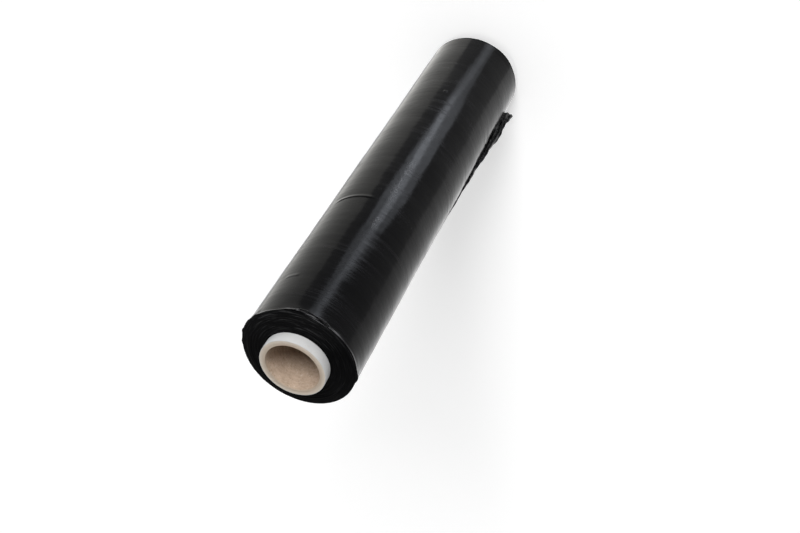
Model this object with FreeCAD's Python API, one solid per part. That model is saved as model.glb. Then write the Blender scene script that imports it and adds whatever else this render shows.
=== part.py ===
"""Hand roll of black stretch film, standing on the cut end of its paper core. Millimetres, +Z up.

The origin is on the core's axis, in the plane that the roll stands on.
The roll is three pieces: a tube of grey board, the white paper ply glued round it, and the web of film,
whose turns, tapered last turn and loose gathered corner are one solid.
"""
import FreeCAD
import Part
import math
import os

Vector = FreeCAD.Vector

# Core: a wound board tube under a white paper cover ply, cut square at both ends
core_bore = 50.0            # inside diameter, the size that hand dispensers fit
board_wall = 5.1
cover_ply = 0.4
core_length = 526.0
cut_bevel = 0.4             # the knife's small bevel round both edges of the board tube

# Web of film
film_width = 500.0
film_outside = 105.0        # diameter over the last turn
shown_turns = 12            # each shown turn stands for about a hundred turns of the thin film
loose_turns = 3             # the last of them, thin ones that have come apart at the upper end
loose_pitch = 0.5
web_start_sink = 0.2        # how far inside the core's surface the first turn starts
web_end_step = 0.3          # thickness left at the free edge of the last turn
web_end_azimuth = 184.0     # where that free edge lies, degrees from +X

# Ends of the winding: a crest on each turn and a groove between neighbouring turns
crest_share = 0.62          # where the crest lies between the inner and the outer groove of its turn
crest_height = 0.55

# Sideways wander of the web while it was wound: it keeps its width, so both ends shift together
telescope = 2.6             # the turns at the core lie this much further up than the last turn
slow_wander = 0.30
slow_wander_rate = 0.37     # waves in each turn
fast_wander = 0.14
fast_wander_rate = 2.43

# Edges of the loose turns, which have slid back from the upper end over a part of the way round
loose_slide = 3.4           # how far the last turn's edge lies back
loose_azimuth = 284.0
loose_half_width = 34.0     # degrees
loose_lobes = 8             # waves of each edge round the roll
loose_wave = 0.45           # their height where the edges are loosest

# Lip of the last turn, which curls a little at both ends
lip_height = 9.0
lip_ripple = 0.35           # largest rise and fall of its edge
lip_lobes = 9
upper_curls = [             # azimuth, half width in degrees, outward curl
    (288.0, 26.0, 0.8),
    (2.0, 28.0, 0.9),
    (212.0, 24.0, 0.8),
]
lower_curls = [
    (30.0, 30.0, 0.8),
    (250.0, 24.0, 0.6),
]

# Loose corner of the web, gathered into a narrow crumpled tail that stands off the side of the roll
tail_rise = 29.0            # height of the torn tip over the lower end of the winding
tail_length = 250.0         # from the tip up to where the free edge starts to leave the roll
tail_reach = 9.5            # how far the widest part stands off the last turn
tail_taper = 1.6            # power with which it widens from the top down
tail_sheet = 1.7            # thickness of the gathered sheet, measured round the roll
tail_root_sink = 1.2        # how far its root runs into the winding
tail_pleat = 1.6            # largest sideways depth of a pleat
tail_pleats = 2.2           # pleats from the root to the edge
tail_twist = 3.4            # turns that the pleats slide by from the top to the foot
tail_edge_ripple = 0.9      # in and out wave of the torn edge
tail_edge_waves = 5.3       # waves from the top to the foot
tail_sections = 15
tail_steps = 9              # flats across each side of a section

seam_share = 0.015          # part of a turn that the narrow faces take on each side of the free edge
seam_steps = 2              # spans of a spiral curve through a narrow face
open_steps = 12             # and through each of the two wide faces of a turn
full_turn = 2 * math.pi

# Begin and end of the faces of a turn as shares of it, and their spans; the tail grows out of the narrow ones
stretches = [
    (0.0, seam_share, seam_steps),
    (seam_share, 0.5, open_steps),
    (0.5, 1 - seam_share, open_steps),
    (1 - seam_share, 1.0, seam_steps),
]

board_outside = core_bore + 2 * board_wall
core_outside = board_outside + 2 * cover_ply
film_foot = (core_length - film_width) / 2
tail_foot = film_foot + tail_rise
last_radius = film_outside / 2
first_radius = core_outside / 2 - web_start_sink
tight_turns = shown_turns - loose_turns
tight_radius = last_radius - web_end_step - loose_pitch * (loose_turns - 1)
turn_pitch = (tight_radius - first_radius) / tight_turns


def polar(radius, azimuth, height):
    """Point at a radius and an azimuth in radians about the core's axis."""
    return Vector(radius * math.cos(azimuth), radius * math.sin(azimuth), height)


def tube(inside, outside, length):
    """Plain tube that stands on the origin's plane."""
    wall = Part.makeCylinder(outside / 2, length)
    return wall.cut(Part.makeCylinder(inside / 2, length))


def board_core():
    """The wound board tube, with the knife's bevel round both ends of the bore."""
    body = tube(core_bore, board_outside, core_length)
    bore_rims = [
        edge for edge in body.Edges
        if isinstance(edge.Curve, Part.Circle) and abs(edge.Curve.Radius - core_bore / 2) < board_wall / 2
    ]
    return body.makeChamfer(cut_bevel, bore_rims)


def core_cover_ply():
    """White paper wound round the board tube and cut off with it."""
    return tube(board_outside, core_outside, core_length)


def groove_radius(wound):
    """Radius outside the turn at a wound angle; the loose turns are thin, and the last one ends in the free edge."""
    turns = wound / full_turn
    if turns <= tight_turns:
        return first_radius + turn_pitch * turns
    if turns <= shown_turns - 1:
        return tight_radius + loose_pitch * (turns - tight_turns)
    return last_radius - web_end_step * (shown_turns - turns)


def crest_radius(wound):
    """Radius of a turn's crest, between the grooves on its two sides."""
    inner = groove_radius(wound - full_turn)
    return inner + crest_share * (groove_radius(wound) - inner)


def crest_rise(wound):
    """Height of a crest over its grooves, less where the turn is thin."""
    thickness = groove_radius(wound) - groove_radius(wound - full_turn)
    return crest_height * thickness / turn_pitch


def web_shift(wound):
    """How far up the web lies at a wound angle: the telescoped winding and the wander of the winder."""
    turns = wound / full_turn
    slow = slow_wander * math.sin(full_turn * slow_wander_rate * turns)
    fast = fast_wander * math.sin(full_turn * fast_wander_rate * turns)
    return telescope * (1 - turns / shown_turns) + slow + fast


def bump(offset, half_width):
    """Smooth bump of height 1 that ends at a half width on both sides, for an offset in degrees."""
    share = ((offset + 180) % 360 - 180) / half_width
    return (1 - share * share) ** 2 if abs(share) < 1 else 0.0


def slid_back(wound):
    """How far the edge of the web lies back from the upper end: more with each loose turn, in uneven waves."""
    turns = wound / full_turn
    loose = min(1.0, max(0.0, (turns - tight_turns) / (loose_turns - 0.5)))
    place = bump(web_end_azimuth + math.degrees(wound) - loose_azimuth, loose_half_width)
    wave = loose_wave * math.sin(loose_lobes * wound + 2.5 * loose)
    return loose * place * (loose_slide + wave)


def lip_share(wound):
    """0 at both ends of the last turn and 1 through its middle, so that the lip meets the step."""
    turned = wound - full_turn * (shown_turns - 1)
    return min(1.0, 4 * math.sin(turned / 2) ** 2)


def spiral_curve(turn, stretch, radius, height):
    """Curve along a stretch of one turn, through a radius and a height that are functions of the wound angle.

    Its parameters are even, so that neighbouring curves match span by span.
    """
    begin, finish, spans = stretch
    points = []
    for step in range(spans + 1):
        wound = full_turn * (turn + begin + (finish - begin) * step / spans)
        points.append(polar(radius(wound), math.radians(web_end_azimuth) + wound, height(wound)))
    curve = Part.BSplineCurve()
    curve.interpolate(Points=points, Parameters=[float(step) for step in range(len(points))])
    return curve


def ruled_face(near, far):
    """Face swept by a straight line from one spiral curve to the next."""
    surface = Part.BSplineSurface()
    surface.buildFromPolesMultsKnots(
        [near.getPoles(), far.getPoles()], [2, 2], near.getMultiplicities(), [0, 1], near.getKnots(),
        False, False, 1, near.Degree)
    return surface.toShape()


def flat_face(points):
    return Part.Face(Part.makePolygon(points + points[:1]))


def solid_from(faces):
    """Solid inside faces whose edges meet."""
    shell = Part.makeShell(faces)
    shell.sewShape()
    return Part.makeSolid(shell)


def web_end_curves(level, side, curls, stretch):
    """Grooves and crests of one end, from the core outwards, along the same stretch of each turn.

    side is 1 at the top end and -1 at the foot.
    """
    def edge_height(wound):
        return level + web_shift(wound) - (slid_back(wound) if side > 0 else 0)

    def groove_height(wound):
        return min(edge_height(wound), edge_height(wound + full_turn)) if side > 0 else edge_height(wound)

    def crest_level(wound):
        return edge_height(wound) + side * crest_rise(wound)

    def lip_radius(wound):
        azimuth = web_end_azimuth + math.degrees(wound)
        curl = sum(size * bump(azimuth - place, width) for place, width, size in curls)
        return groove_radius(wound) + curl * lip_share(wound)

    def lip_level(wound):
        return edge_height(wound) + side * lip_ripple * lip_share(wound) * math.sin(lip_lobes * wound)

    def lip_root_level(wound):
        return level + web_shift(wound) - side * lip_height

    curves = [spiral_curve(-1, stretch, groove_radius, groove_height)]
    last_turn = shown_turns - 1
    for turn in range(last_turn):
        curves.append(spiral_curve(turn, stretch, crest_radius, crest_level))
        curves.append(spiral_curve(turn, stretch, groove_radius, groove_height))
    curves.append(spiral_curve(last_turn, stretch, crest_radius, crest_level))
    curves.append(spiral_curve(last_turn, stretch, lip_radius, lip_level))
    curves.append(spiral_curve(last_turn, stretch, groove_radius, lip_root_level))
    return curves


def wound_turns():
    """The spiral turns: ruled faces from curve to curve, out over the top and down the wall to the foot."""
    faces = []
    outlines = []
    for stretch in stretches:
        top = web_end_curves(film_foot + film_width, 1, upper_curls, stretch)
        foot = web_end_curves(film_foot, -1, lower_curls, stretch)
        around = top + foot[::-1]
        faces += [ruled_face(near, far) for near, far in zip(around, around[1:] + around[:1])]
        outlines.append((top, foot))

    # A flat face closes the step of the spiral, at the start of the first turn and at the end of the last
    top, foot = outlines[0]
    end_top, end_foot = outlines[-1]
    first_step = [curve.StartPoint for curve in top[:3] + foot[2::-1]]
    last_step = [curve.EndPoint for curve in end_top[-4:] + end_foot[:-5:-1]]
    last_step += [foot[-1].StartPoint, top[-1].StartPoint]
    return solid_from(faces + [flat_face(first_step), flat_face(last_step)])


def tail_section(height):
    """Corners of the gathered tail at one height: a pleated sheet from inside the winding to its free edge."""
    grown = 1 - (height - tail_foot) / tail_length
    azimuth = math.radians(web_end_azimuth)
    outward = polar(1, azimuth, 0)
    around = polar(1, azimuth + math.pi / 2, 0)
    edge_wave = tail_edge_ripple * grown * math.sin(full_turn * tail_edge_waves * grown)
    reach = tail_reach * grown ** tail_taper + edge_wave
    thickness = tail_sheet * (0.3 + 0.7 * grown)
    sides = {-1: [], 1: []}
    for step in range(tail_steps + 1):
        share = step / tail_steps
        radius = last_radius - tail_root_sink + (reach + tail_root_sink) * share
        pleat = tail_pleat * grown * math.sin(full_turn * (tail_pleats * share + tail_twist * grown))
        for side, corners in sides.items():
            corners.append(outward * radius + around * (pleat + side * thickness / 2) + Vector(0, 0, height))
    return sides[-1] + sides[1][::-1]


def gathered_tail():
    """The loose corner of the web: flat crumples between creases, from section to section down its length."""
    rise = tail_length / (tail_sections - 1)
    sections = [tail_section(tail_foot + rise * index) for index in range(tail_sections)]
    faces = [flat_face(sections[0]), flat_face(sections[-1])]
    for upper, lower in zip(sections, sections[1:]):
        for index in range(len(upper)):
            after = (index + 1) % len(upper)
            faces.append(flat_face([upper[index], upper[after], lower[index]]))
            faces.append(flat_face([upper[after], lower[after], lower[index]]))
    return solid_from(faces)


def film_winding():
    """The web of film: its turns, bored out to the core, with the loose tail grown out of the free edge."""
    bore = Part.makeCylinder(core_outside / 2, core_length)
    return wound_turns().cut(bore).fuse(gathered_tail())


if __name__ == "__main__":
    os.makedirs("parts", exist_ok=True)
    for piece in (board_core, core_cover_ply, film_winding):
        shape = piece()
        print(piece.__name__, len(shape.Solids), shape.isValid(), round(shape.Volume))
        shape.exportStep(f"parts/{piece.__name__}.step")
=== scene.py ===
"""Looks of a hand roll of black stretch film that stands on its paper core. Metres, +Z up.

The board tube, its white paper cover ply and the wound film are closed rings: the outline of a cross-section
goes once round the core's axis. Each is two arrays, radius and height, over outline point and azimuth.
"""
import math

import bpy
import numpy as np
from mathutils import Matrix, Vector


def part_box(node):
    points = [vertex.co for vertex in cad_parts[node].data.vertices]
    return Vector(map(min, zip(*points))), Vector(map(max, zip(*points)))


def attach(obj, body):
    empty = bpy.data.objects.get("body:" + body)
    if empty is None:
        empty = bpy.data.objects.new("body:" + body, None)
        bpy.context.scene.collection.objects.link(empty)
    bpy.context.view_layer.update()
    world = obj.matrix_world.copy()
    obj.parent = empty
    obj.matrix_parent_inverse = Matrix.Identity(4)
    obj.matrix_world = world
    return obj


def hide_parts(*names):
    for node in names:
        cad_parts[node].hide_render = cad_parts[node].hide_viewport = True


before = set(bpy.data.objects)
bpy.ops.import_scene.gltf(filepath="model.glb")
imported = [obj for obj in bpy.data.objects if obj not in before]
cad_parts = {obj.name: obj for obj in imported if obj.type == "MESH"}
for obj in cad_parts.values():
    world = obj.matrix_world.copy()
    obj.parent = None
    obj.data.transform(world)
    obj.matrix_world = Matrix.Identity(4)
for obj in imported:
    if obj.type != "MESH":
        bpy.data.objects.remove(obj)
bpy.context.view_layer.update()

MM = 0.001
TURN = 2 * math.pi

# Sizes read from the frame
board_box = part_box("board_core")
ply_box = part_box("core_cover_ply")
CORE_LENGTH = board_box[1].z
BORE_RADIUS = 25.0 * MM
BOARD_RADIUS = board_box[1].x
CORE_RADIUS = ply_box[1].x

# Film: the same values as the solid that it stands for
FILM_WIDTH = 500.0 * MM
FILM_RADIUS = 52.5 * MM
FILM_FOOT = (CORE_LENGTH - FILM_WIDTH) / 2
FILM_TOP = FILM_FOOT + FILM_WIDTH
TELESCOPE = 2.6 * MM         # the turns at the core lie this much further up than the last turn
FREE_EDGE = 184.0            # azimuth of the web's free edge, degrees from +X
LIP_HEIGHT = 9.0 * MM
AROUND = 320                 # columns round the roll

rng = np.random.default_rng(11)


def azimuths(columns=AROUND):
    """Even azimuths of the columns, in radians, from 0 up to a full turn."""
    return np.arange(columns) * TURN / columns


def bump(degrees, place, half_width):
    """1 at a place in degrees, smoothly down to 0 at a half width on both sides: (1 - x squared) squared."""
    share = ((degrees - place + 180) % 360 - 180) / half_width
    return np.where(np.abs(share) < 1, (1 - share ** 2) ** 2, 0.0)


def ease(value):
    """Smooth step from 0 to 1 over values from 0 to 1: 3x squared minus 2x cubed."""
    value = np.clip(value, 0, 1)
    return value * value * (3 - 2 * value)


def ripple(angle, waves, shift=0.0):
    """Sum of sines round the roll with these wave counts; each height is 1 over the root of its count."""
    total = np.zeros_like(angle)
    for index, count in enumerate(waves):
        total = total + np.sin(count * angle + 2.4 * index + shift) / math.sqrt(count)
    return total


def faces_between(row, next_row, columns):
    """Four-cornered faces between pairs of rows of a grid whose columns close into a loop."""
    row, next_row = row[:, None] * columns, next_row[:, None] * columns
    column = np.arange(columns)[None, :]
    after = (column + 1) % columns
    corners = [row + column, row + after, next_row + after, next_row + column]
    return np.stack(corners, axis=-1).reshape(-1, 4)


def ring_mesh(name, radius, height):
    """Closed ring from arrays of radius and height: rows go round the outline, columns round the axis."""
    rows, columns = radius.shape
    angle = azimuths(columns)[None, :]
    points = np.stack([radius * np.cos(angle), radius * np.sin(angle), height + 0 * angle], axis=-1)
    row = np.arange(rows)
    return mesh_object(name, points.reshape(-1, 3), faces_between(row, (row + 1) % rows, columns))


def mesh_object(name, points, quads):
    """Smooth object from points and four-cornered faces, turned so that its faces point outwards."""
    a, b, c, d = (points[quads[:, corner]] for corner in range(4))
    volume = np.einsum("ij,ij->i", a, np.cross(b, c)).sum() + np.einsum("ij,ij->i", a, np.cross(c, d)).sum()
    if volume < 0:
        quads = quads[:, ::-1]
    mesh = bpy.data.meshes.new(name)
    mesh.from_pydata(points, [], quads.tolist())
    mesh.polygons.foreach_set("use_smooth", np.ones(len(quads), dtype=bool))
    mesh.update()
    piece = bpy.data.objects.new(name, mesh)
    bpy.context.scene.collection.objects.link(piece)
    return piece


class Shade:
    """A socket of a material's nodes. Arithmetic on it adds Math nodes, and node() adds any other node."""

    def __init__(self, tree, socket=None):
        self.tree = tree
        self.socket = socket

    def node(self, kind, inputs=None, output=0, **settings):
        """New node of a kind: its settings first, then values or links of its sockets."""
        made = self.tree.nodes.new(kind)
        for setting, value in settings.items():
            setattr(made, setting, value)
        for key, value in (inputs or {}).items():
            if isinstance(value, Shade):
                self.tree.links.new(value.socket, made.inputs[key])
            else:
                made.inputs[key].default_value = value
        return Shade(self.tree, made.outputs[output])

    def math(self, operation, *values):
        return self.node("ShaderNodeMath", dict(enumerate(values)), operation=operation)

    def __add__(self, other):
        return self.math("ADD", self, other)

    def __radd__(self, other):
        return self.math("ADD", other, self)

    def __sub__(self, other):
        return self.math("SUBTRACT", self, other)

    def __rsub__(self, other):
        return self.math("SUBTRACT", other, self)

    def __mul__(self, other):
        return self.math("MULTIPLY", self, other)

    def __rmul__(self, other):
        return self.math("MULTIPLY", other, self)

    def __pow__(self, other):
        return self.math("POWER", self, other)

    def __abs__(self):
        return self.math("ABSOLUTE", self)

    def larger(self, other):
        return self.math("MAXIMUM", self, other)

    def step(self, low, high):
        """0 below low, 1 above high and smooth between; low may be the larger, which turns it round."""
        inputs = {"Value": self, "From Min": low, "From Max": high}
        return self.node("ShaderNodeMapRange", inputs, interpolation_type="SMOOTHSTEP")

    def mix(self, first, second):
        """Colour between two colours, by this value."""
        inputs = {"Factor": self, "A": rgba(first), "B": rgba(second)}
        return self.node("ShaderNodeMix", inputs, output="Result", data_type="RGBA")

    def stretched(self, x, y, z):
        """This place scaled along the three axes."""
        return self.node("ShaderNodeMapping", {"Vector": self, "Scale": (x, y, z)})

    def noise(self, scale, detail=2.0, roughness=0.5):
        inputs = {"Vector": self, "Scale": scale, "Detail": detail, "Roughness": roughness}
        return self.node("ShaderNodeTexNoise", inputs)

    def coordinates(self):
        """X, Y and Z of this place."""
        return [self.node("ShaderNodeSeparateXYZ", {0: self}, output=axis) for axis in range(3)]

    def joined(self, y, z):
        """Place with this as its X and with this Y and Z."""
        return self.node("ShaderNodeCombineXYZ", {"X": self, "Y": y, "Z": z})


def rgba(colour):
    """Colour with full alpha; a colour that comes from a node stays as it is."""
    return (*colour, 1.0) if isinstance(colour, tuple) else colour


def new_material(name):
    """Material with its place on the piece, its shader node and the tools to add nodes."""
    material = bpy.data.materials.new(name)
    material.use_nodes = True
    tree = material.node_tree
    shader = tree.nodes["Principled BSDF"]
    place = Shade(tree).node("ShaderNodeTexCoord", output="Object")
    return material, shader, place


def feed(shader, place, **sockets):
    """Links or sets the shader's sockets; an underscore in a name stands for a space."""
    for key, value in sockets.items():
        socket = shader.inputs[key.replace("_", " ")]
        if isinstance(value, Shade):
            place.tree.links.new(value.socket, socket)
        else:
            socket.default_value = value


def bumped(place, height, distance, strength=1.0):
    """Normal of a surface raised by height times a distance in metres."""
    return place.node("ShaderNodeBump", {"Height": height, "Distance": distance, "Strength": strength})


FILM_BLACK = (0.0014, 0.0014, 0.0018)
FILM_DUSTY = (0.016, 0.016, 0.017)
# Pale colour painted on the black film as highlights: lines along the upper lip and glints of scuff marks in
# the front streak
FILM_PAINTED_HIGHLIGHT = (0.14, 0.14, 0.145)
FILM_BUMP = 0.45 * MM
LIP_HIGHLIGHT_BAND = (5.5 * MM, 1.5 * MM)     # the upper lip's painted highlight lines: from nothing to full, under the upper end
LOOSE_MIDDLE = math.radians(276)     # azimuth about which the last turns lie loose, where the lip's painted highlight is strongest
SCUFF_GLINT_OFFSET = 6.5 * MM              # middle of the scuff marks painted pale as glints, towards +X from the middle of the front
SCUFF_GLINT_LOW = (0.20, 0.25)             # heights over which the painted glints come in
SCUFF_GLINT_HIGH = (0.43, 0.37)            # and go out

# Fine crinkles: height in mm, azimuth and half width in degrees from -180 to 180, depth
CRINKLES = [
    (275.0, -16.0, 11.0, 0.3),
    (395.0, 22.0, 22.0, 0.25),
    (180.0, 95.0, 34.0, 0.3),
    (137.0, -71.0, 2.6, 0.5),
]
CRINKLE_STEEP = 1.6 * MM
CRINKLE_GENTLE = 4.2 * MM
CRINKLE_WANDER = 10 * MM


def film_material():
    """Wound black film: glossy, with fine lines round the roll, slow ribs, crinkles and a little dust.

    The surface's height is a weighted sum of noises: ribs, soft swells, wrinkles, dents, grain and lines.
    """
    material, shader, place = new_material("black_film")
    fine_lines = place.stretched(10, 10, 1500).noise(1.0, 2.0)
    lines = place.stretched(12, 12, 520).noise(1.0, 3.0, 0.6)
    ribs = place.stretched(3, 3, 90).noise(1.0, 2.0)
    swells = place.stretched(9, 9, 14).noise(1.0, 2.0)
    wrinkles = place.stretched(46, 46, 70).noise(1.0, 4.0, 0.6)
    dents = place.stretched(130, 130, 240).noise(1.0, 2.0)
    grain = place.stretched(420, 420, 700).noise(1.0, 2.0)
    dust = place.noise(900, 1.0).step(0.68, 0.76) * place.noise(45, 2.0).step(0.46, 0.66)
    haze = place.stretched(12, 12, 30).noise(1.0, 4.0).step(0.35, 0.75)
    brushed = lines.step(0.42, 0.62) * place.stretched(30, 30, 45).noise(1.0, 3.0).step(0.36, 0.60)
    height = ribs * 0.45 + swells * 2.2 + wrinkles * 0.20 + dents * 0.16 + grain * 0.035 + lines * 0.05
    height = height + crinkle_lines(place) * 1.7
    dusty_black = (dust * 0.9 + brushed * fine_lines * 0.22).mix(FILM_BLACK, FILM_DUSTY)
    feed(
        shader, place,
        # Painted highlights: pale lines along the upper lip, and pale scuff marks only where the wall mirrors
        # the front lamp
        Base_Color=(painted_lip_highlight(place) + painted_scuff_glints(place)).mix(dusty_black, FILM_PAINTED_HIGHLIGHT),
        Roughness=0.11 + 0.06 * haze + 0.15 * brushed + 0.25 * dust,
        Normal=bumped(place, height, FILM_BUMP),
        IOR=1.13)
    return material


def painted_lip_highlight(place):
    """Share of painted highlight lines in the upper lip: strong on the loose side, which faces the front lamp,
    and faint round the rest.
    """
    x, y, z = place.coordinates()
    towards_loose = x * math.cos(LOOSE_MIDDLE) + y * math.sin(LOOSE_MIDDLE)
    highlight_side = towards_loose.step(FILM_RADIUS * 0.80, FILM_RADIUS * 0.97)
    band = z.step(FILM_TOP - LIP_HIGHLIGHT_BAND[0], FILM_TOP - LIP_HIGHLIGHT_BAND[1])
    lines = place.stretched(45, 45, 1300).noise(1.0, 2.0).step(0.50, 0.60)
    return band * lines * (0.12 + 0.88 * highlight_side)


def painted_scuff_glints(place):
    """Share of short fine scuff marks painted pale as glints, in patches, in a narrow upright field on the
    front where the wall mirrors the front lamp's streak.
    """
    x, y, z = place.coordinates()
    field = abs(x - SCUFF_GLINT_OFFSET).step(5 * MM, 1 * MM) * y.step(0.0, -10 * MM)
    field = field * z.step(*SCUFF_GLINT_LOW) * z.step(*SCUFF_GLINT_HIGH)
    patches = place.stretched(90, 90, 40).noise(1.0, 2.0).step(0.48, 0.60)
    return field * patches * place.stretched(1500, 1500, 950).noise(1.0, 1.0).step(0.50, 0.70) * 0.42


def crinkle_lines(place):
    """Thin raised arcs part of the way round: ridges, steep above and gentle below, at a waving height."""
    x, y, z = place.coordinates()
    azimuth = y.math("ARCTAN2", y, x)
    wave = place.stretched(30, 30, 0).noise(1.0, 2.0)
    total = 0.0
    for level, middle, half_width, depth in CRINKLES:
        line = z - level * MM - (wave - 0.5) * CRINKLE_WANDER
        ridge = line.step(CRINKLE_STEEP, 0.0) * line.step(-CRINKLE_GENTLE, 0.0)
        end = math.radians(half_width)
        reach = abs(azimuth - math.radians(middle)).step(end, end * 0.6)
        total = total + ridge * reach * depth
    return total


FILM_CUT_BLACK = (0.0016, 0.0016, 0.0018)
# Pale colour of the end's rings and arcs, mostly painted as a sheen on the side towards the key light
FILM_CUT_WEAR_AND_SHEEN = (0.036, 0.036, 0.037)


def film_end_material():
    """Cut edges of the turns: duller, with fine rings and paler arcs, faint all round and painted brighter as
    a sheen on the side towards the key light and the camera.
    """
    material, shader, place = new_material("black_film_edges")
    x, y = place.coordinates()[:2]
    radius = (x * x + y * y) ** 0.5
    rings = (radius * 2600).joined(0.0, 0.0).noise(1.0, 2.0)
    arcs = (radius * 1100).joined(x * 60, y * 60).noise(1.0, 3.0, 0.6)
    mottle = place.noise(120, 3.0)
    # A little random wear, plus a painted sheen that pales the rings and arcs on the side towards +X and -Y,
    # where the key light falls
    wear_and_sheen = place.noise(14, 1.0).step(0.40, 0.62) * 0.15 + (x * 0.5 - y * 0.87).step(8 * MM, 46 * MM) * 0.95
    lines = rings.step(0.40, 0.80) * 0.4 + arcs.step(0.52, 0.66) * 0.6
    feed(
        shader, place,
        Base_Color=(lines * (0.15 + 0.85 * wear_and_sheen)).mix(FILM_CUT_BLACK, FILM_CUT_WEAR_AND_SHEEN),
        Roughness=0.35 + 0.25 * mottle,
        Normal=bumped(place, rings * 0.6 + mottle * 0.4, 0.25 * MM),
        IOR=1.06)
    return material


BOARD_TAN = (0.41, 0.31, 0.23)
BOARD_PINK = (0.53, 0.405, 0.31)
BOARD_LIGHT = (0.66, 0.57, 0.48)
BOARD_DARK = (0.23, 0.15, 0.10)
CUT_INNER = (0.42, 0.345, 0.27)
CUT_OUTER = (0.64, 0.59, 0.52)


def board_material():
    """Recycled board: mottled tan with pale and dark fibres, and a cut ring that pales outwards."""
    material, shader, place = new_material("core_board")
    x, y, z = place.coordinates()
    radius = (x * x + y * y) ** 0.5
    cloud = place.stretched(150, 150, 210).noise(1.0, 5.0, 0.7)
    fibre = place.stretched(800, 800, 300).noise(1.0, 2.0)
    cross_fibre = place.stretched(380, 380, 950).noise(1.0, 2.0)
    specks = cross_fibre.step(0.56, 0.70) * 0.45
    pale = fibre.step(0.56, 0.72) * 0.45
    plies = (radius * 1700).joined(0.0, 0.0).noise(1.0, 1.0)
    ground = cloud.step(0.30, 0.70).mix(BOARD_TAN, BOARD_PINK)
    ground = pale.mix(ground, BOARD_LIGHT)
    ground = specks.mix(ground, BOARD_DARK)
    outwards = radius.step(BORE_RADIUS + 0.6 * MM, BOARD_RADIUS - 0.4 * MM) * 0.8
    outwards = outwards + plies.step(0.35, 0.65) * 0.2
    rough_cut = outwards.mix(CUT_INNER, CUT_OUTER)
    cut = z.step(CORE_LENGTH - 1.2 * MM, CORE_LENGTH - 0.2 * MM)
    feed(
        shader, place,
        Base_Color=(cut * 0.8).mix(ground, rough_cut),
        Roughness=0.93,
        Normal=bumped(place, fibre * 0.5 + cross_fibre * 0.5 + cloud * 0.8 + plies * cut * 0.8, 0.3 * MM),
        IOR=1.35)
    return material


PAPER_COOL = (0.53, 0.535, 0.54)
PAPER_WARM = (0.58, 0.58, 0.575)
PAPER_SOILED = (0.48, 0.455, 0.42)


def paper_material():
    """White cover paper: soft white, faintly clouded and soiled in small spots."""
    material, shader, place = new_material("cover_paper")
    cloud = place.noise(70, 4.0, 0.6)
    fibre = place.stretched(700, 700, 1600).noise(1.0, 3.0)
    soiled = place.noise(240, 2.0).step(0.60, 0.74) * 0.35
    ground = cloud.step(0.3, 0.7).mix(PAPER_COOL, PAPER_WARM)
    ground = soiled.mix(ground, PAPER_SOILED)
    feed(
        shader, place,
        Base_Color=ground,
        Roughness=0.72,
        Normal=bumped(place, fibre * 0.6 + cloud * 0.6, 0.12 * MM),
        IOR=1.4)
    return material


def outline(*corners):
    """Closed outline from corners (radius, height, points): even points from each corner to the next."""
    radius, height = [], []
    for corner, following in zip(corners, corners[1:] + corners[:1]):
        share = np.arange(corner[2]) / corner[2]
        radius.append(corner[0] + (following[0] - corner[0]) * share)
        height.append(corner[1] + (following[1] - corner[1]) * share)
    return np.concatenate(radius)[:, None], np.concatenate(height)[:, None]


def board_tube():
    """Board tube: an outline of bore, cut rings and outside.

    The cut rings rise and fall by a tenth of a millimetre from ply to ply and round the tube.
    """
    soft = 0.35 * MM
    top = CORE_LENGTH
    radius, height = outline(
        (BORE_RADIUS, soft, 40),
        (BORE_RADIUS, top - soft, 3),
        (BORE_RADIUS + soft, top, 26),
        (BOARD_RADIUS - soft * 0.3, top, 2),
        (BOARD_RADIUS, top - soft * 0.3, 12),
        (BOARD_RADIUS, soft * 0.3, 2),
        (BOARD_RADIUS - soft * 0.3, 0, 26),
        (BORE_RADIUS + soft, 0, 3))
    angle = azimuths()[None, :]
    on_top = ease((height - (top - 0.1 * MM)) / (0.1 * MM))
    ply = np.sin(radius / (0.42 * MM) * math.pi)
    ply = ply + 0.7 * np.sin(radius / (0.19 * MM) + ripple(angle, (2, 5)) * 0.8)
    cut = ply * 0.045 * MM + ripple(angle, (3, 8, 17)) * 0.05 * MM
    return ring_mesh("core_tube", radius + 0 * angle, height - on_top * (0.12 * MM - cut))


def cover_ply():
    """Paper ply: the wall glued to the board, a cut edge that is a little frayed, and the outside wall."""
    top = CORE_LENGTH
    edge = 0.12 * MM
    radius, height = outline(
        (BOARD_RADIUS, 0, 12),
        (BOARD_RADIUS, top, 4),
        (CORE_RADIUS - edge, top, 2),
        (CORE_RADIUS, top - edge, 30),
        (CORE_RADIUS, edge, 2),
        (CORE_RADIUS - edge, 0, 4))
    angle = azimuths()[None, :]
    near_top = ease((height - (top - 1.0 * MM)) / (1.0 * MM))
    fray = ripple(angle, (5, 13, 31, 57), 1.0) * 0.05 * MM
    return ring_mesh("core_paper", radius + 0 * angle, height - near_top * (0.10 * MM - fray))


ALL_TURNS = 28               # fine turns drawn on an end, inside the loose ones
ROWS_A_TURN = 3
RIM_START = FILM_RADIUS - 1.3 * MM

# Last turns, from the inside: mm under the wall, drop in mm of the edge where it is tight, and for each place
# where it is loose its azimuth and half width in degrees and its drop in mm
LOOSE_EDGES = [
    (0.80, 0.10, ((300, 20, 0.8), (262, 24, 0.5))),
    (0.40, 0.20, ((293, 16, 1.5), (305, 9, 1.2), (268, 16, 0.8), (210, 30, 0.6))),
    (0.00, 0.32, (
        (286, 12, 1.9), (284, 34, 2.0), (268, 12, 1.5), (232, 30, 0.8), (199, 14, 1.2), (356, 14, 0.9))),
]
LOWER_TURNED = 130           # the lower end's edges are loose this many degrees further back,
LOWER_LOOSE = 0.3            # by this share
LAST_BAND = 2.6 * MM         # shown height of the last edge's lip

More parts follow.
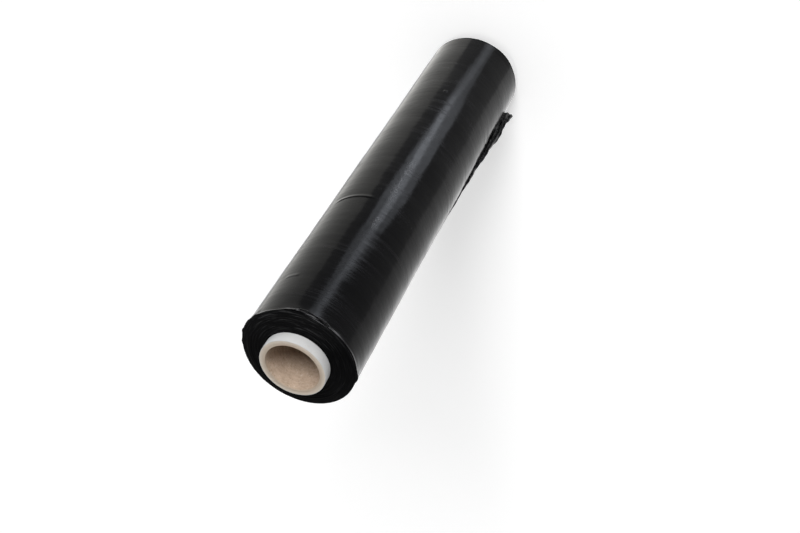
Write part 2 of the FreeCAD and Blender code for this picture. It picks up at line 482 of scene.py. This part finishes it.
# Where the wall curls out at the lips: azimuth and half width in degrees, and mm
UPPER_CURLS = [
    (288, 26, 0.8), (2, 28, 0.9), (212, 24, 0.8), (197, 7, 0.9), (341, 6, 0.8), (8, 4.5, 0.9), (22, 5, 0.6)]
LOWER_CURLS = [(30, 30, 0.8), (250, 24, 0.6)]


def lip_curl(degrees, side):
    """How far the wall curls out towards an end, in metres: a sum of bumps."""
    curls = UPPER_CURLS if side > 0 else LOWER_CURLS
    return sum(reach * bump(degrees, place, half_width) for place, half_width, reach in curls) * MM


def end_level(side, share, angle):
    """Height of an end over the share of the way from core to wall: a shallow cone that leans a little."""
    level = FILM_TOP if side > 0 else FILM_FOOT
    lean = (np.sin(angle + share * 20) * 0.10 + np.sin(3 * angle + share * 50) * 0.05) * MM
    return level + TELESCOPE * (1 - share) + lean * ease((1 - share) / 0.05)


def end_profile(side, turns):
    """Radius and height of an end of the winding, from the core out to where the loose turns start.

    Each turn has a crest and a groove, and lies up or down by an offset that wanders from turn to turn.
    """
    rows = turns * ROWS_A_TURN
    along = (np.arange(rows + 1) / rows)[:, None]
    radius = CORE_RADIUS + (RIM_START - CORE_RADIUS) * along
    share = (radius - CORE_RADIUS) / (FILM_RADIUS - CORE_RADIUS)
    angle = azimuths()[None, :]
    wander = np.cumsum(rng.normal(0, 0.10, turns + 1))
    wander = wander - np.linspace(wander[0], wander[-1], turns + 1)
    wander = wander + rng.normal(0, 0.14, turns + 1)
    offset = np.interp(along[:, 0] * turns, np.arange(turns + 1), wander)[:, None]
    offset = offset * ease((1 - along) / 0.06)
    groove = 0.5 + 0.5 * np.cos(TURN * along * turns + 0.8 * np.sin(angle + 3 * along))
    height = end_level(side, share, angle) + offset * MM - side * groove * 0.16 * MM
    return radius + 0 * angle, height


def rim(side):
    """The last turns' edges at an end, from the inside out: thin lips that curl out where they are loose.

    Each edge drops from its tight place by its own bumps round the roll, with a wave that grows with it.
    """
    angle = azimuths()[None, :]
    degrees = np.degrees(angle)
    level = end_level(side, 1.0, angle)
    under = FILM_RADIUS + lip_curl(degrees, side)
    drops, curls = [], []
    for index, (_, tight, places) in enumerate(LOOSE_EDGES):
        turned = degrees if side > 0 else degrees + LOWER_TURNED
        loose = sum(slide * bump(turned, place, half_width) for place, half_width, slide in places)
        loose = loose if side > 0 else LOWER_LOOSE * loose
        wave = ripple(angle, (5, 11, 17, 29, 43), 1.7 * index + side)
        drops.append((tight + loose + wave * (0.05 + 0.10 * loose)) * MM)
        curl = np.minimum(0.45 * loose, 1.0) * (1 + 0.25 * ripple(angle, (9, 23), index))
        curls.append((0.05 + curl) * MM)
    drops.append(drops[-1] + LAST_BAND)
    rows = []
    for (inset, _, _), drop, following, curl in zip(LOOSE_EDGES, drops, drops[1:], curls):
        wall = under - inset * MM
        shown = np.maximum(following - drop, 0.15 * MM)
        band = np.minimum(0.60 * shown, 1.6 * curl + 0.05 * MM)
        rows += [
            (wall - 0.30 * MM, drop + 0.20 * MM + 0.5 * curl),
            (wall - 0.10 * MM + curl, drop),
            (wall + curl, drop + 0.05 * MM),
            (wall + 0.30 * curl, drop + band),
            (wall, drop + 0.75 * shown),
        ]
    radius = np.concatenate([out + 0 * angle for out, _ in rows])
    return radius, np.concatenate([level - side * down for _, down in rows])


# Creases in the last turn: height in mm, azimuth and half width in degrees, climb and depth in mm
CREASES = [
    (342.3, 312, 25, 6.5, 0.50),
    (465.0, 323, 9, 1.0, 0.32),
]
CREASE_ROWS = np.array([2.6, 1.6, 1.1, 0.7, 0.3, 0.0, -0.7, -1.6, -2.6, -3.6, -4.4, -6.5])[:, None] * MM
CREASE_STEEP = 1.6 * MM      # width of a crease's upper slope
CREASE_GENTLE = 4.2 * MM     # and of its lower one
CREASE_RETURN = 20           # degrees past its end in which a crease's rows come back to its level
CREASE_ABOVE = 14.0 * MM     # the wall's even rows keep this far off a crease
CREASE_BELOW = 10.0 * MM
WALL_ROWS = 110
WAVE_HEIGHT = 0.10 * MM
DENT = (347, 16)             # azimuth and half width in degrees
DENT_LEVEL = 276 * MM
DENT_REACH = 7 * MM
DENT_DEPTH = 0.45 * MM


def crease_line(degrees, crease):
    """Height of a crease: it climbs as the cube of the way along it, and comes back past its end."""
    level, place, half_width, climb, _ = crease
    along = np.clip((degrees - place + half_width) / (2 * half_width), 0, 1)
    back = ease(1 - (degrees - place - half_width) / CREASE_RETURN)
    return (level + climb * along ** 3 * back) * MM


def crease_ridge(degrees, above, crease):
    """Ridge over the height above its line: steep upper slope, gentle lower one, and ends that fade out."""
    _, place, half_width, _, depth = crease
    slope = np.where(above > 0, above / CREASE_STEEP, -above / CREASE_GENTLE)
    return depth * MM * ease(1 - slope) * ease((half_width - np.abs(degrees - place)) / (0.4 * half_width))


def wall_heights(top, foot, lines):
    """Heights of the wall's rows: spaced as a cosine from top to foot, with close rows along each crease."""
    share = (0.5 - 0.5 * np.cos(np.linspace(0, math.pi, WALL_ROWS + 1)))[1:-1, None]
    height = top + (foot - top) * share
    for (level, *_), line in zip(CREASES, lines):
        middle = height.mean(axis=1)
        free = (middle > level * MM + CREASE_ABOVE) | (middle < level * MM - CREASE_BELOW)
        height = np.concatenate([height[free], line + CREASE_ROWS])
    return height[np.argsort(-height[:, 0])]


def slow_waves(height, angle):
    """Sum of sines over height and azimuth, where the web was wound with uneven pull."""
    waves = np.sin(height * 31 + 2 * angle) + 0.6 * np.sin(height * 74 - 3 * angle + 1)
    waves = waves + 0.4 * np.sin(height * 160 + angle)
    return waves + 0.35 * np.sin(height * 23 + 9 * angle + 1.5 * np.sin(height * 50))


def film_wall(upper, lower):
    """Outside of the last turn, from the upper rim down to the lower one.

    The lips curl back to the straight wall over the lip's height. Slow waves, a dent and the creases are added
    to the radius.
    """
    angle = azimuths()[None, :]
    degrees = np.degrees(angle)
    lines = [crease_line(degrees, crease) for crease in CREASES]
    height = wall_heights(upper[1][-1:], lower[1][-1:], lines)
    creased = sum(crease_ridge(degrees, height - line, crease) for crease, line in zip(CREASES, lines))
    from_top = (FILM_TOP - height) / (LIP_HEIGHT + 3 * MM)
    from_foot = (height - FILM_FOOT) / (LIP_HEIGHT + 3 * MM)
    curl = lip_curl(degrees, 1) * (1 - ease(from_top)) + lip_curl(degrees, -1) * (1 - ease(from_foot))
    still = ease(from_top / 2) * ease(from_foot / 2)
    dent = bump(degrees, *DENT) * np.exp(-((height - DENT_LEVEL) / DENT_REACH) ** 2) * DENT_DEPTH
    radius = FILM_RADIUS + curl + slow_waves(height, angle) * still * WAVE_HEIGHT - dent + creased
    return radius, height


def film_turns():
    """Wound film as one closed ring: upper end and rim, wall, lower rim and end, wall at the core."""
    upper, lower = end_profile(1, ALL_TURNS), end_profile(-1, ALL_TURNS // 2)
    upper_rim, lower_rim = rim(1), rim(-1)
    wall = film_wall(upper_rim, lower_rim)
    radius, height = (
        np.concatenate([upper[way], upper_rim[way], wall[way], lower_rim[way][::-1], lower[way][::-1]])
        for way in range(2))
    film = ring_mesh("film_roll", radius, height)
    row = np.arange(len(radius))
    inside = len(upper[0]) + 1
    on_wall = (row >= inside) & (row < len(radius) - len(lower[0]) - 2)
    film.data.materials.append(film_material())
    film.data.materials.append(film_end_material())
    film.data.polygons.foreach_set("material_index", np.repeat(~on_wall, AROUND).astype(np.int32))
    return film


# Loose corner of the web, gathered into a crumpled tail: the same values as the solid that it stands for
TAIL_FOOT = FILM_FOOT + 29.0 * MM
TAIL_LENGTH = 250.0 * MM
TAIL_REACH = 9.5 * MM
TAIL_TAPER = 1.6
TAIL_SHEET = 1.7 * MM
TAIL_ROOT_SINK = 1.2 * MM
TAIL_PLEAT = 1.6 * MM
TAIL_PLEATS = 2.2
TAIL_TWIST = 3.4
TAIL_BULGE = 1.3 * MM
TAIL_BULGE_DOWN = 0.77       # where the tail is widest above its foot, as a share of the way down
TAIL_ROWS = 110
TAIL_STEPS = 34              # points across each face
TAIL_CREASED = 1.1 * MM      # depth of the small creases in its material


def film_tail():
    """Gathered corner of the web, over the way down and a walk round its thin outline.

    The reach grows as a power of the way down, waves and bulges. The middle of the sheet swings from side to
    side in pleats that slide along it, and small crumples of two sizes lie over both faces.
    """
    down = np.linspace(0, 1, TAIL_ROWS)[:, None]
    walk = np.arange(2 * TAIL_STEPS)[None, :] / TAIL_STEPS
    share = np.where(walk < 1, walk, 2 - walk)
    side = np.where(walk < 1, -1.0, 1.0) * np.sin(np.clip(share, 0.03, 0.97) * math.pi) ** 0.35
    wave = 0.9 * MM * down * np.sin(TURN * 5.3 * down) + 0.35 * MM * down * np.sin(TURN * 17 * down + 1)
    bulge = TAIL_BULGE * np.exp(-((down - TAIL_BULGE_DOWN) / 0.11) ** 2)
    reach = TAIL_REACH * down ** TAIL_TAPER + wave + bulge
    radius = FILM_RADIUS - TAIL_ROOT_SINK + (reach + TAIL_ROOT_SINK) * share
    pleat = np.sin(TURN * (TAIL_PLEATS * share + TAIL_TWIST * down))
    pleat = TAIL_PLEAT * down * (1 - 0.5 * down ** 10) * pleat
    crumple = 0.30 * np.sin(31 * share + 58 * down) * np.sin(47 * down - 9 * share)
    crumple = crumple + 0.2 * np.sin(83 * down + 19 * share)
    gathered = 0.3 + 0.7 * down + 0.9 * down ** 8 + 0.9 * np.exp(-((down - 0.78) / 0.13) ** 2)
    across = pleat + side * TAIL_SHEET / 2 * gathered + crumple * down * MM
    height = TAIL_FOOT + TAIL_LENGTH * (1 - down) + down ** 12 * 0.7 * MM * np.sin(6 * share + 0.5)
    outward = math.radians(FREE_EDGE)
    points = np.stack([
        radius * math.cos(outward) - across * math.sin(outward),
        radius * math.sin(outward) + across * math.cos(outward),
        height + 0 * radius], axis=-1)
    columns = 2 * TAIL_STEPS
    row = np.arange(TAIL_ROWS - 1)
    skin = faces_between(row, row + 1, columns)
    pair = np.arange(TAIL_STEPS - 1)
    cap = np.stack([pair, pair + 1, columns - 2 - pair, columns - 1 - pair], axis=-1)
    foot = cap[:, ::-1] + (TAIL_ROWS - 1) * columns
    quads = np.concatenate([skin, cap[:, ::-1], foot[:, ::-1]])
    tail = mesh_object("film_tail", points.reshape(-1, 3), quads)
    tail.data.materials.append(tail_material())
    return tail


def tail_material():
    """Crumpled film: the same black, with sharp small creases."""
    material, shader, place = new_material("black_film_crumpled")
    cells = place.node(
        "ShaderNodeTexVoronoi", {"Vector": place.stretched(1.0, 1.0, 0.35), "Scale": 300.0},
        output="Distance", feature="DISTANCE_TO_EDGE")
    fine = place.noise(900, 3.0)
    feed(
        shader, place,
        Base_Color=(fine.step(0.5, 0.8) * 0.5).mix(FILM_BLACK, FILM_DUSTY),
        Roughness=0.20 + 0.15 * fine,
        Normal=bumped(place, cells.step(0.0, 0.35) * 0.7 + fine * 0.3, TAIL_CREASED),
        IOR=1.24)
    return material


def join(first, second):
    """Adds the second object's mesh to the first, with its material."""
    both = [first, second]
    with bpy.context.temp_override(active_object=first, object=first, selected_editable_objects=both):
        bpy.ops.object.join()


def dress():
    """Makes the pieces, hangs them under the root body and hides the parts of model.glb that they stand for.
    """
    film = film_turns()
    join(film, film_tail())
    tube = board_tube()
    tube.data.materials.append(board_material())
    paper = cover_ply()
    paper.data.materials.append(paper_material())
    for piece, node, slot in (
            (film, "film_winding", "black_film"),
            (tube, "board_core", "board"),
            (paper, "core_cover_ply", "white_paper")):
        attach(piece, "root")
        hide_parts(node)


# The camera's place and aim, which match the photograph's view of the roll lying on its side
CAMERA_PLACE = Vector((0.0, -0.7313, 1.1209))
VIEW_DIRECTION = Vector((-0.0340, 0.6881, -0.7248))
PICTURE_UP = Vector((0.5277, -0.6035, -0.5977))
LENS = 50.0
SENSOR_WIDTH = 36.0
FLOOR_HALF_SIDE = 5.0
FLOOR_GREY = (0.80, 0.80, 0.80, 1.0)
FLOOR_LIFT = (0.38, 0.38, 0.38)      # glow that lifts the lit floor to white where it is seen
WORLD_LIGHT = 0.25                   # strength of the surroundings for what they light; they show as 1


def make_camera():
    """Camera with the photograph's lens; the picture's upward direction gives its roll."""
    data = bpy.data.cameras.new("camera")
    data.lens = LENS
    data.sensor_width = SENSOR_WIDTH
    data.clip_start = 0.01
    camera = bpy.data.objects.new("camera", data)
    back = -VIEW_DIRECTION.normalized()
    right = PICTURE_UP.cross(back).normalized()
    up = back.cross(right)
    camera.matrix_world = Matrix.Translation(CAMERA_PLACE) @ Matrix((right, up, back)).transposed().to_4x4()
    bpy.context.scene.collection.objects.link(camera)
    bpy.context.scene.camera = camera


def seen_directly(start):
    """1 on rays from the camera, mirror rays and rays through clear things, 0 on rays that light things."""
    camera_ray, glossy_ray, clear_ray = (
        start.node("ShaderNodeLightPath", output=name)
        for name in ("Is Camera Ray", "Is Glossy Ray", "Is Transmission Ray"))
    return camera_ray.larger(glossy_ray.larger(clear_ray))


def make_floor():
    """Plain pale floor that shows white where the roll doesn't shade it."""
    side = FLOOR_HALF_SIDE
    mesh = bpy.data.meshes.new("floor")
    corners = [(-side, -side, 0), (side, -side, 0), (side, side, 0), (-side, side, 0)]
    mesh.from_pydata(corners, [], [(0, 1, 2, 3)])
    floor = bpy.data.objects.new("floor", mesh)
    bpy.context.scene.collection.objects.link(floor)
    material, shader, place = new_material("pale_floor")
    glow = seen_directly(place).mix((0.0, 0.0, 0.0), FLOOR_LIFT)
    feed(shader, place, Base_Color=FLOOR_GREY, Roughness=0.9, Emission_Color=glow, Emission_Strength=1.0)
    mesh.materials.append(material)


def make_world():
    """White surroundings for what is seen or mirrored, and a softer grey for what they light."""
    world = bpy.data.worlds.new("studio")
    world.use_nodes = True
    bpy.context.scene.world = world
    start = Shade(world.node_tree)
    background = world.node_tree.nodes["Background"]
    background.inputs["Color"].default_value = (1, 1, 1, 1)
    strength = WORLD_LIGHT + (1 - WORLD_LIGHT) * seen_directly(start)
    world.node_tree.links.new(strength.socket, background.inputs["Strength"])


# The long lamp on the floor in front, as the wall mirrors it: distance in front of the axis, then offset of
# its middle towards +X, width and radiance, first of its whole width and then of its bright core. Radiance is
# in units of a white surface under plain light.
STREAK = [
    (0.052, 0.003, 0.012, 1.5, 0.003, 0.005, 1.0),
    (0.071, 0.003, 0.020, 1.7, 0.003, 0.010, 1.4),
    (0.091, 0.006, 0.031, 1.9, 0.005, 0.014, 1.6),
    (0.118, 0.012, 0.056, 2.0, 0.014, 0.025, 1.8),
    (0.140, 0.012, 0.072, 2.6, 0.020, 0.026, 2.6),
    (0.157, 0.011, 0.088, 4.0, 0.030, 0.026, 5.5),
    (0.200, 0.015, 0.134, 4.8, 0.044, 0.040, 9.0),
    (0.247, 0.028, 0.184, 5.0, 0.044, 0.058, 8.5),
    (0.300, 0.036, 0.262, 5.3, 0.032, 0.085, 8.0),
    (0.360, 0.064, 0.280, 4.3, 0.052, 0.090, 7.5),
    (0.430, 0.098, 0.312, 3.9, 0.070, 0.100, 5.5),
    (0.507, 0.144, 0.205, 3.0, 0.128, 0.100, 6.0),
    (0.580, 0.166, 0.225, 2.8, 0.160, 0.100, 5.5),
    (0.800, 0.280, 0.220, 3.4, 0.280, 0.100, 6.0),
    (2.600, 1.100, 0.600, 6.0, 1.100, 0.270, 8.0),
]
STREAK_STEPS = 26
STREAK_COLOUR = (0.86, 0.91, 1.0)
# Lamps that only lower views mirror: azimuth, nearest and farthest end, width and radiance
FAR_LAMPS = [
    (12.0, 0.95, 2.8, 0.50, 9.0),
    (172.0, 0.95, 2.8, 0.50, 9.0),
    (92.0, 0.30, 2.8, 0.16, 9.0),
]
# Wide lamps at both sides: name, azimuth of the wall's point that their edge starts from, azimuth of the edge,
# length and width, with a minus where the lamp lies to the right of its edge, radiance and colour
PANELS = [
    ("left_panel", 298, 326, (1.5, 1.5), 1.22, (1.0, 0.985, 0.92)),
    ("right_panel", 235, 200, (1.5, -1.5), 0.68, (1.0, 1.0, 1.0)),
]
FLOOR_GAP = 2 * MM
CORE_GAP = 1.5 * FLOOR_GAP           # the bright cores and the far lamps lie over the wide ones
KEY_FROM = (0.5, -1.35, 0.80)        # direction that the soft key light comes from
KEY_STRENGTH = 2.5
KEY_SPREAD = 24.0                    # degrees
OVERHEAD_STRENGTH = 0.55
OVERHEAD_SPREAD = 20.0


def floor_lamp(name, corner, azimuth, size, radiance, colour=(1, 1, 1), gap=FLOOR_GAP):
    """Lamp on the floor that shows only in gloss: from a corner, along an azimuth and to its left."""
    data = bpy.data.lights.new(name, "AREA")
    data.shape = "RECTANGLE"
    data.size, data.size_y = abs(size[0]), abs(size[1])
    data.energy = radiance * math.pi * data.size * data.size_y
    data.color = colour
    along = Vector((math.cos(azimuth), math.sin(azimuth), 0))
    across = Vector((-along.y, along.x, 0))
    lamp = bpy.data.objects.new(name, data)
    lamp.location = Vector((*corner, gap)) + along * size[0] / 2 + across * size[1] / 2
    lamp.rotation_euler = (math.pi, 0, azimuth)
    lamp.visible_camera = False
    lamp.visible_diffuse = False
    bpy.context.scene.collection.objects.link(lamp)


def wall_point(degrees):
    """Place on the wall's circle at an azimuth."""
    return FILM_RADIUS * math.cos(math.radians(degrees)), FILM_RADIUS * math.sin(math.radians(degrees))


def soft_sun(name, direction, strength, spread):
    """Far soft lamp in a direction, with its strength and its width in degrees."""
    data = bpy.data.lights.new(name, "SUN")
    data.energy = strength
    data.angle = math.radians(spread)
    lamp = bpy.data.objects.new(name, data)
    lamp.rotation_euler = (-Vector(direction)).to_track_quat("-Z", "Y").to_euler()
    bpy.context.scene.collection.objects.link(lamp)


def make_lights():
    """A soft key light in front and one from above, and lamps on the floor: wide at both sides, and long ones.

    The camera looks down on the roll, so its wall mirrors the floor. A side lamp's straight edge mirrors as a
    straight line up the wall, and the front lamp widens with distance, so that its streak keeps its width.
    The far lamps give the wall its highlights from other sides.
    """
    soft_sun("key", KEY_FROM, KEY_STRENGTH, KEY_SPREAD)
    soft_sun("overhead", (0.0, 0.0, 1.0), OVERHEAD_STRENGTH, OVERHEAD_SPREAD)
    for name, start, edge, size, radiance, colour in PANELS:
        floor_lamp(name, wall_point(start), math.radians(edge), size, radiance, colour)
    front_lamps()
    for index, (degrees, near, far, width, radiance) in enumerate(FAR_LAMPS):
        azimuth = math.radians(degrees)
        along = Vector((math.cos(azimuth), math.sin(azimuth)))
        corner = near * along + width / 2 * Vector((along.y, -along.x))
        floor_lamp(f"far_{index}", corner, azimuth, (far - near, width), radiance, gap=CORE_GAP)


def front_lamps():
    """The long front lamp in steps: offset, width and radiance are read between the rows of its table."""
    table = np.array(STREAK)
    reaches = np.geomspace(table[0, 0], table[-1, 0], STREAK_STEPS + 1)
    for index, (near, far) in enumerate(zip(reaches, reaches[1:])):
        values = [np.interp((near + far) / 2, table[:, 0], table[:, column]) for column in range(1, 7)]
        for part, (offset, width, radiance), gap in (
                ("whole", values[:3], FLOOR_GAP),
                ("core", values[3:], CORE_GAP)):
            corner = (offset - width / 2, -near)
            size = (far - near, width)
            floor_lamp(f"front_{part}_{index}", corner, -math.pi / 2, size, radiance, STREAK_COLOUR, gap)


dress()
make_camera()
make_floor()
make_world()
make_lights()
bpy.context.scene.view_settings.view_transform = "Standard"
